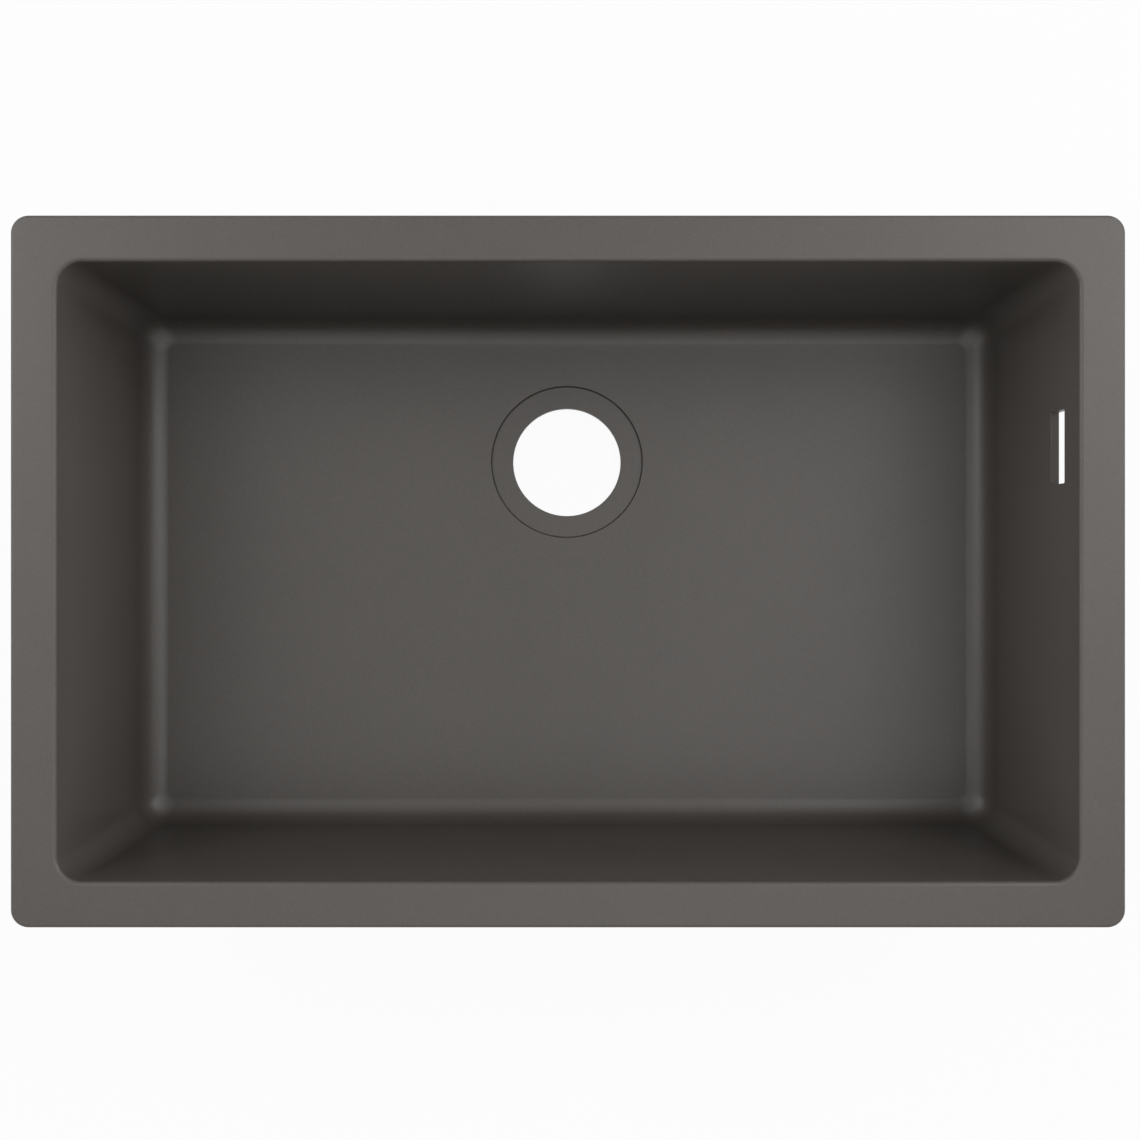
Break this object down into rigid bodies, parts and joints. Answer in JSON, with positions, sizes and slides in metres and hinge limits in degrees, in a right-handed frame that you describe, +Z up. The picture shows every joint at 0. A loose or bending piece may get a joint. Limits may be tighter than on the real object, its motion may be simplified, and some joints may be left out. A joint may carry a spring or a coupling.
{
  "type": "undermount kitchen sink",
  "caption": "Undermount kitchen sink in moulded composite: flat flange, drafted walls, round drain recess with open hole, open overflow slot, turn-out fixing lugs below.",
  "frame": {"origin": "centre of the bowl's opening, in the flange's top plane, which is the plane that meets the worktop's underside", "axes": "+X to the right along the long side, +Y to the back where the drain and the overflow are, +Z up out of the bowl"},
  "size_m": [0.72, 0.46, 0.205],
  "materials": {
    "composite": "matte",
    "insert_brass": "satin",
    "lug_zinc": "satin",
    "screw_steel": "satin"
  },
  "bodies": {
    "sink": {"bowl": "composite", "insert_back_1": "insert_brass", "insert_back_2": "insert_brass", "insert_back_3": "insert_brass", "insert_front_1": "insert_brass", "insert_front_2": "insert_brass", "insert_front_3": "insert_brass", "insert_left_1": "insert_brass", "insert_left_2": "insert_brass", "insert_right_1": "insert_brass", "insert_right_2": "insert_brass"},
    "washer_back_1": {"washer_back_1": "screw_steel"},
    "screw_back_1": {"screw_back_1": "screw_steel"},
    "lug_back_1": {"lug_back_1": "lug_zinc"},
    "washer_back_2": {"washer_back_2": "screw_steel"},
    "screw_back_2": {"screw_back_2": "screw_steel"},
    "lug_back_2": {"lug_back_2": "lug_zinc"},
    "washer_back_3": {"washer_back_3": "screw_steel"},
    "screw_back_3": {"screw_back_3": "screw_steel"},
    "lug_back_3": {"lug_back_3": "lug_zinc"},
    "washer_front_1": {"washer_front_1": "screw_steel"},
    "screw_front_1": {"screw_front_1": "screw_steel"},
    "lug_front_1": {"lug_front_1": "lug_zinc"},
    "washer_front_2": {"washer_front_2": "screw_steel"},
    "screw_front_2": {"screw_front_2": "screw_steel"},
    "lug_front_2": {"lug_front_2": "lug_zinc"},
    "washer_front_3": {"washer_front_3": "screw_steel"},
    "screw_front_3": {"screw_front_3": "screw_steel"},
    "lug_front_3": {"lug_front_3": "lug_zinc"},
    "washer_left_1": {"washer_left_1": "screw_steel"},
    "screw_left_1": {"screw_left_1": "screw_steel"},
    "lug_left_1": {"lug_left_1": "lug_zinc"},
    "washer_left_2": {"washer_left_2": "screw_steel"},
    "screw_left_2": {"screw_left_2": "screw_steel"},
    "lug_left_2": {"lug_left_2": "lug_zinc"},
    "washer_right_1": {"washer_right_1": "screw_steel"},
    "screw_right_1": {"screw_right_1": "screw_steel"},
    "lug_right_1": {"lug_right_1": "lug_zinc"},
    "washer_right_2": {"washer_right_2": "screw_steel"},
    "screw_right_2": {"screw_right_2": "screw_steel"},
    "lug_right_2": {"lug_right_2": "lug_zinc"}
  },
  "joints": [
    {"name": "washer_drop_back_1", "type": "slide", "parent": "sink", "child": "washer_back_1", "axis": [0, 0, -1], "range_m": [0, 0.003]},
    {"name": "screw_turn_back_1", "type": "hinge", "parent": "washer_back_1", "child": "screw_back_1", "pos_m": [-0.24, 0.21925, -0.02], "axis": [0, 0, -1], "range_deg": [0, 1080]},
    {"name": "lug_swing_back_1", "type": "hinge", "parent": "washer_back_1", "child": "lug_back_1", "pos_m": [-0.24, 0.21925, -0.0165], "axis": [0, 0, 1], "range_deg": [0, 90]},
    {"name": "washer_drop_back_2", "type": "slide", "parent": "sink", "child": "washer_back_2", "axis": [0, 0, -1], "range_m": [0, 0.003]},
    {"name": "screw_turn_back_2", "type": "hinge", "parent": "washer_back_2", "child": "screw_back_2", "pos_m": [0, 0.21925, -0.02], "axis": [0, 0, -1], "range_deg": [0, 1080]},
    {"name": "lug_swing_back_2", "type": "hinge", "parent": "washer_back_2", "child": "lug_back_2", "pos_m": [0, 0.21925, -0.0165], "axis": [0, 0, 1], "range_deg": [0, 90]},
    {"name": "washer_drop_back_3", "type": "slide", "parent": "sink", "child": "washer_back_3", "axis": [0, 0, -1], "range_m": [0, 0.003]},
    {"name": "screw_turn_back_3", "type": "hinge", "parent": "washer_back_3", "child": "screw_back_3", "pos_m": [0.24, 0.21925, -0.02], "axis": [0, 0, -1], "range_deg": [0, 1080]},
    {"name": "lug_swing_back_3", "type": "hinge", "parent": "washer_back_3", "child": "lug_back_3", "pos_m": [0.24, 0.21925, -0.0165], "axis": [0, 0, 1], "range_deg": [0, 90]},
    {"name": "washer_drop_front_1", "type": "slide", "parent": "sink", "child": "washer_front_1", "axis": [0, 0, -1], "range_m": [0, 0.003]},
    {"name": "screw_turn_front_1", "type": "hinge", "parent": "washer_front_1", "child": "screw_front_1", "pos_m": [-0.24, -0.21925, -0.02], "axis": [0, 0, -1], "range_deg": [0, 1080]},
    {"name": "lug_swing_front_1", "type": "hinge", "parent": "washer_front_1", "child": "lug_front_1", "pos_m": [-0.24, -0.21925, -0.0165], "axis": [0, 0, 1], "range_deg": [0, 90]},
    {"name": "washer_drop_front_2", "type": "slide", "parent": "sink", "child": "washer_front_2", "axis": [0, 0, -1], "range_m": [0, 0.003]},
    {"name": "screw_turn_front_2", "type": "hinge", "parent": "washer_front_2", "child": "screw_front_2", "pos_m": [0, -0.21925, -0.02], "axis": [0, 0, -1], "range_deg": [0, 1080]},
    {"name": "lug_swing_front_2", "type": "hinge", "parent": "washer_front_2", "child": "lug_front_2", "pos_m": [0, -0.21925, -0.0165], "axis": [0, 0, 1], "range_deg": [0, 90]},
    {"name": "washer_drop_front_3", "type": "slide", "parent": "sink", "child": "washer_front_3", "axis": [0, 0, -1], "range_m": [0, 0.003]},
    {"name": "screw_turn_front_3", "type": "hinge", "parent": "washer_front_3", "child": "screw_front_3", "pos_m": [0.24, -0.21925, -0.02], "axis": [0, 0, -1], "range_deg": [0, 1080]},
    {"name": "lug_swing_front_3", "type": "hinge", "parent": "washer_front_3", "child": "lug_front_3", "pos_m": [0.24, -0.21925, -0.0165], "axis": [0, 0, 1], "range_deg": [0, 90]},
    {"name": "washer_drop_left_1", "type": "slide", "parent": "sink", "child": "washer_left_1", "axis": [0, 0, -1], "range_m": [0, 0.003]},
    {"name": "screw_turn_left_1", "type": "hinge", "parent": "washer_left_1", "child": "screw_left_1", "pos_m": [-0.34925, -0.16, -0.02], "axis": [0, 0, -1], "range_deg": [0, 1080]},
    {"name": "lug_swing_left_1", "type": "hinge", "parent": "washer_left_1", "child": "lug_left_1", "pos_m": [-0.34925, -0.16, -0.0165], "axis": [0, 0, 1], "range_deg": [0, 90]},
    {"name": "washer_drop_left_2", "type": "slide", "parent": "sink", "child": "washer_left_2", "axis": [0, 0, -1], "range_m": [0, 0.003]},
    {"name": "screw_turn_left_2", "type": "hinge", "parent": "washer_left_2", "child": "screw_left_2", "pos_m": [-0.34925, 0.16, -0.02], "axis": [0, 0, -1], "range_deg": [0, 1080]},
    {"name": "lug_swing_left_2", "type": "hinge", "parent": "washer_left_2", "child": "lug_left_2", "pos_m": [-0.34925, 0.16, -0.0165], "axis": [0, 0, 1], "range_deg": [0, 90]},
    {"name": "washer_drop_right_1", "type": "slide", "parent": "sink", "child": "washer_right_1", "axis": [0, 0, -1], "range_m": [0, 0.003]},
    {"name": "screw_turn_right_1", "type": "hinge", "parent": "washer_right_1", "child": "screw_right_1", "pos_m": [0.34925, -0.16, -0.02], "axis": [0, 0, -1], "range_deg": [0, 1080]},
    {"name": "lug_swing_right_1", "type": "hinge", "parent": "washer_right_1", "child": "lug_right_1", "pos_m": [0.34925, -0.16, -0.0165], "axis": [0, 0, 1], "range_deg": [0, 90]},
    {"name": "washer_drop_right_2", "type": "slide", "parent": "sink", "child": "washer_right_2", "axis": [0, 0, -1], "range_m": [0, 0.003]},
    {"name": "screw_turn_right_2", "type": "hinge", "parent": "washer_right_2", "child": "screw_right_2", "pos_m": [0.34925, 0.16, -0.02], "axis": [0, 0, -1], "range_deg": [0, 1080]},
    {"name": "lug_swing_right_2", "type": "hinge", "parent": "washer_right_2", "child": "lug_right_2", "pos_m": [0.34925, 0.16, -0.0165], "axis": [0, 0, 1], "range_deg": [0, 90]}
  ],
  "couplings": [
    {"joint": "screw_turn_back_1", "follows": "washer_drop_back_1", "rad_per_m": 6283.2},
    {"joint": "screw_turn_back_2", "follows": "washer_drop_back_2", "rad_per_m": 6283.2},
    {"joint": "screw_turn_back_3", "follows": "washer_drop_back_3", "rad_per_m": 6283.2},
    {"joint": "screw_turn_front_1", "follows": "washer_drop_front_1", "rad_per_m": 6283.2},
    {"joint": "screw_turn_front_2", "follows": "washer_drop_front_2", "rad_per_m": 6283.2},
    {"joint": "screw_turn_front_3", "follows": "washer_drop_front_3", "rad_per_m": 6283.2},
    {"joint": "screw_turn_left_1", "follows": "washer_drop_left_1", "rad_per_m": 6283.2},
    {"joint": "screw_turn_left_2", "follows": "washer_drop_left_2", "rad_per_m": 6283.2},
    {"joint": "screw_turn_right_1", "follows": "washer_drop_right_1", "rad_per_m": 6283.2},
    {"joint": "screw_turn_right_2", "follows": "washer_drop_right_2", "rad_per_m": 6283.2}
  ]
}
